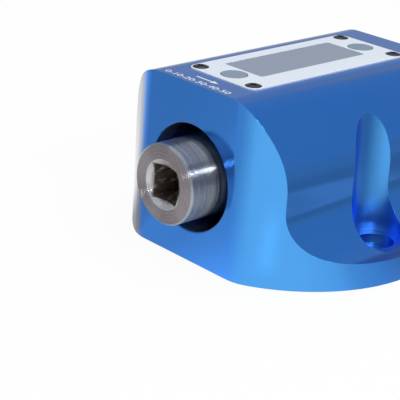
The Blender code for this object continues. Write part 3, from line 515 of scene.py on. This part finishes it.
def white_print():
    made, shader, wire = new_material("white_print", IOR=1.45)
    grain = wire.noise(wire.place(), 3500.0, 2.0)
    tint = grain.mix(colour(225, 230, 240), colour(245, 247, 250))
    connect(wire, shader, Base_Color=tint, Roughness=0.5 + grain * 0.1)
    connect(wire, shader, Normal=wire.bump(grain, 0.002 * MM))
    return made


def flat_mesh(name, curve, matrix):
    """A text or outline made into a mesh that lies on the top."""
    drawn = bpy.data.objects.new(name + "_drawn", curve)
    bpy.context.scene.collection.objects.link(drawn)
    bpy.context.view_layer.update()
    mesh = bpy.data.meshes.new_from_object(drawn.evaluated_get(bpy.context.evaluated_depsgraph_get()))
    bpy.data.objects.remove(drawn, do_unlink=True)
    mesh.transform(matrix)
    mesh.name = name
    made = bpy.data.objects.new(name, mesh)
    bpy.context.scene.collection.objects.link(made)
    return made


def printed(piece, look):
    piece.data.materials.clear()
    piece.data.materials.append(look)
    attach(piece, "tester")


print_look = white_print()
text = bpy.data.curves.new("number_row", "FONT")
text.body = "0-10-20-30-40-50"
text.align_x = "CENTER"
text.size = 1.0
text.offset = LETTER_SWELL
row = flat_mesh("number_row", text, Matrix())
width = max(v.co.x for v in row.data.vertices) - min(v.co.x for v in row.data.vertices)
height = max(v.co.y for v in row.data.vertices)
row.data.transform(
    Matrix.Translation((ROW_X, ROW_Y, PRINT_Z))
    @ Matrix.Diagonal((ROW_WIDTH / width, ROW_HEIGHT / height, 1, 1))
)
printed(row, print_look)

drawn = bpy.data.curves.new("direction_arrow", "CURVE")
drawn.dimensions = "2D"
drawn.fill_mode = "BOTH"
spline = drawn.splines.new("POLY")
spline.points.add(len(ARROW_OUTLINE) - 1)
for point, (x, y) in zip(spline.points, ARROW_OUTLINE):
    point.co = (x * MM, y * MM, 0, 1)
spline.use_cyclic_u = True
arrow = flat_mesh("direction_arrow", drawn, Matrix.Translation((0, ARROW_Y, PRINT_Z)))
printed(arrow, print_look)

# Pieces inside
# The gauges, their leads, the circuit board and what it carries, the battery, and the port in the rear wall.
# They stay the CAD model's own solids. All but the port's mouth show only when the housing is taken away.


def plain_look(name, low, high, rough, metallic, scale, depth):
    """A quiet material for a hidden piece: two close colours, varied roughness and a fine grain."""
    made, shader, wire = new_material(name, Metallic=metallic)
    cloud = wire.noise(wire.place(), scale, 3.0)
    grain = wire.noise(wire.place(), scale * 6, 2.0)
    connect(wire, shader, Base_Color=cloud.mix(colour(*low), colour(*high)), Roughness=rough + grain * 0.12)
    connect(wire, shader, Normal=wire.bump(grain, depth * MM))
    return made


HIDDEN_LOOKS = {
    "board_green": plain_look("board_green", (22, 84, 52), (30, 104, 64), 0.35, 0.0, 500.0, 0.01),
    "brass": plain_look("brass", (178, 142, 74), (205, 170, 98), 0.25, 1.0, 700.0, 0.003),
    "black_plastic": plain_look("black_plastic", (24, 24, 26), (34, 34, 36), 0.42, 0.0, 900.0, 0.01),
    "gauge_foil": plain_look("gauge_foil", (176, 112, 52), (206, 150, 84), 0.35, 0.3, 1400.0, 0.004),
    "battery_foil": plain_look("battery_foil", (168, 170, 174), (196, 198, 202), 0.3, 0.9, 350.0, 0.02),
    "display_glass": plain_look("display_glass", (58, 66, 72), (70, 80, 86), 0.12, 0.0, 300.0, 0.001),
    "turned_steel": steel,
    "black_steel": blackened,
}
for entry in frame["record"]["subparts"]:
    if entry["material_slot"] in HIDDEN_LOOKS:
        carried = frame["nodes"][entry["node"]].data
        carried.materials.clear()
        carried.materials.append(HIDDEN_LOOKS[entry["material_slot"]])

# Camera
# It stands where the photograph was taken from. Its place, turns and lens were worked out from the ellipses
# and the straight edges that the object shows there.

CAMERA_PLACE = (0.33206, -0.37042, 0.20829)
CAMERA_TURN, CAMERA_DIP, CAMERA_ROLL = 45.79, 21.96, 3.70
LENS_LENGTH, SENSOR_WIDTH = 123.28, 36

camera = bpy.data.objects.new("camera", bpy.data.cameras.new("camera"))
camera.data.lens = LENS_LENGTH
camera.data.sensor_width = SENSOR_WIDTH
camera.data.clip_start = 0.01
camera.matrix_world = (
    Matrix.Translation(CAMERA_PLACE)
    @ Matrix.Rotation(math.radians(CAMERA_TURN), 4, "Z")
    @ Matrix.Rotation(math.radians(90 - CAMERA_DIP), 4, "X")
    @ Matrix.Rotation(math.radians(CAMERA_ROLL), 4, "Z")
)
bpy.context.scene.collection.objects.link(camera)
bpy.context.scene.camera = camera
bpy.context.scene.view_settings.view_transform = "Standard"

# Floor
# A plain pale floor, which the camera sees as white with the object's faint shadow. All other rays see it as
# the floor of a grey room, whose level changes with the direction from the object, or at its right with the
# distance. The light and dark bands of the blue are reflections of that room.

FLOOR_HALF_SIZE, FLOOR_DROP = 3.0, 0.2 * MM
FLOOR_BY_TURN = [
    (-180, 0.4), (-100, 0.8), (-85, 1.0), (-66, 1.0), (-54, 0.65), (-43, 0.43), (-31, 0.47), (-28.5, 0.5),
    (-27.5, 0.6), (-13, 0.58), (0, 0.7), (13, 0.86), (24, 0.98), (52, 0.98), (66, 0.86), (72, 0.7),
    (82, 0.62), (90, 0.52), (99, 0.4), (108, 0.34), (180, 0.34),
]
FLOOR_BY_RADIUS = [(0, 0.25), (84, 0.25), (92, 0.46), (114, 0.46), (130, 0.28), (210, 0.3), (300, 0.36)]
FLOOR_REACH = 300
ROOM_LEVEL, STRIP_LEVEL = 1.04, 0.2
MATTE_GREY, SHADOWLESS_SHARE = (0.98, 0.98, 0.98, 1), 0.93

work = bmesh.new()
bmesh.ops.create_grid(work, x_segments=1, y_segments=1, size=FLOOR_HALF_SIZE)
floor_mesh = bpy.data.meshes.new("floor")
work.to_mesh(floor_mesh)
work.free()
floor = bpy.data.objects.new("floor", floor_mesh)
floor.location = (0, 0, -FLOOR_DROP)
bpy.context.scene.collection.objects.link(floor)
floor_look = bpy.data.materials.new("floor")
floor_look.use_nodes = True
tree = floor_look.node_tree
tree.nodes.clear()
wire = Wire(tree)
x, y = wire.axes()[:2]
turn = x.math("ARCTAN2", x, 0.0 - y) * (180 / math.pi)
around = wire.node(
    "ShaderNodeValToRGB",
    {0: turn * (1 / 360) + 0.5},
    stops=[(degrees / 360 + 0.5, grey) for degrees, grey in FLOOR_BY_TURN],
)
radius = (x * x + y * y) ** 0.5
outward = wire.node(
    "ShaderNodeValToRGB",
    {0: radius * (1 / (FLOOR_REACH * MM))},
    stops=[(distance / FLOOR_REACH, grey) for distance, grey in FLOOR_BY_RADIUS],
)
strip = turn.ramp(27.0, 35.0) * turn.ramp(35.0, 43.0, 1.0, 0.0)
strip = strip * radius.ramp(65 * MM, 85 * MM) * radius.ramp(110 * MM, 150 * MM, 1.0, 0.0)
right_side = turn.ramp(100, 112) * turn.ramp(152, 175, 1.0, 0.0)
level = right_side.mix(around, outward)
brightness = ROOM_LEVEL + strip * STRIP_LEVEL
room_grey = wire.node("ShaderNodeVectorMath", {0: level, "Scale": brightness}, operation="SCALE")
matte = wire.node("ShaderNodeBsdfDiffuse", {"Color": MATTE_GREY})
white = wire.node("ShaderNodeEmission", {"Color": (1, 1, 1, 1), "Strength": 1.0})
room = wire.node("ShaderNodeEmission", {"Color": room_grey, "Strength": 1.0})
seen = wire.node("ShaderNodeLightPath", {}, output=0)
open_floor = wire.node("ShaderNodeMixShader", {0: SHADOWLESS_SHARE, 1: matte, 2: white})
shown = wire.node("ShaderNodeMixShader", {0: seen, 1: room, 2: open_floor})
output = tree.nodes.new("ShaderNodeOutputMaterial")
tree.links.new(shown.socket, output.inputs["Surface"])
floor_mesh.materials.append(floor_look)

# Lights
# Two soft boxes, one long and narrow at the right and one large overhead. The world is white for the camera
# and a plain cool grey for all other rays.

ROOM_GREY = (0.37, 0.39, 0.43, 1)

world = bpy.data.worlds.new("studio")
bpy.context.scene.world = world
world.use_nodes = True
tree = world.node_tree
tree.nodes.clear()
wire = Wire(tree)
seen = wire.node("ShaderNodeLightPath", {}, output=0)
level = seen.mix(ROOM_GREY, (1, 1, 1, 1))
sky = wire.node("ShaderNodeBackground", {"Color": level, "Strength": 1.0})
output = tree.nodes.new("ShaderNodeOutputWorld")
tree.links.new(sky.socket, output.inputs["Surface"])


def soft_box(name, place, width, length, power):
    lamp = bpy.data.lights.new(name, "AREA")
    lamp.shape = "RECTANGLE"
    lamp.size = width
    lamp.size_y = length
    lamp.energy = power
    made = bpy.data.objects.new(name, lamp)
    made.location = place
    made.rotation_euler = (0, math.atan2(place[0], place[2]), 0)
    bpy.context.scene.collection.objects.link(made)


soft_box("strip_box", place=(1.15, -0.3, 0.82), width=0.14, length=1.0, power=8.0)
soft_box("top_box", place=(0.0, 0.1, 1.5), width=2.0, length=2.0, power=12.5)
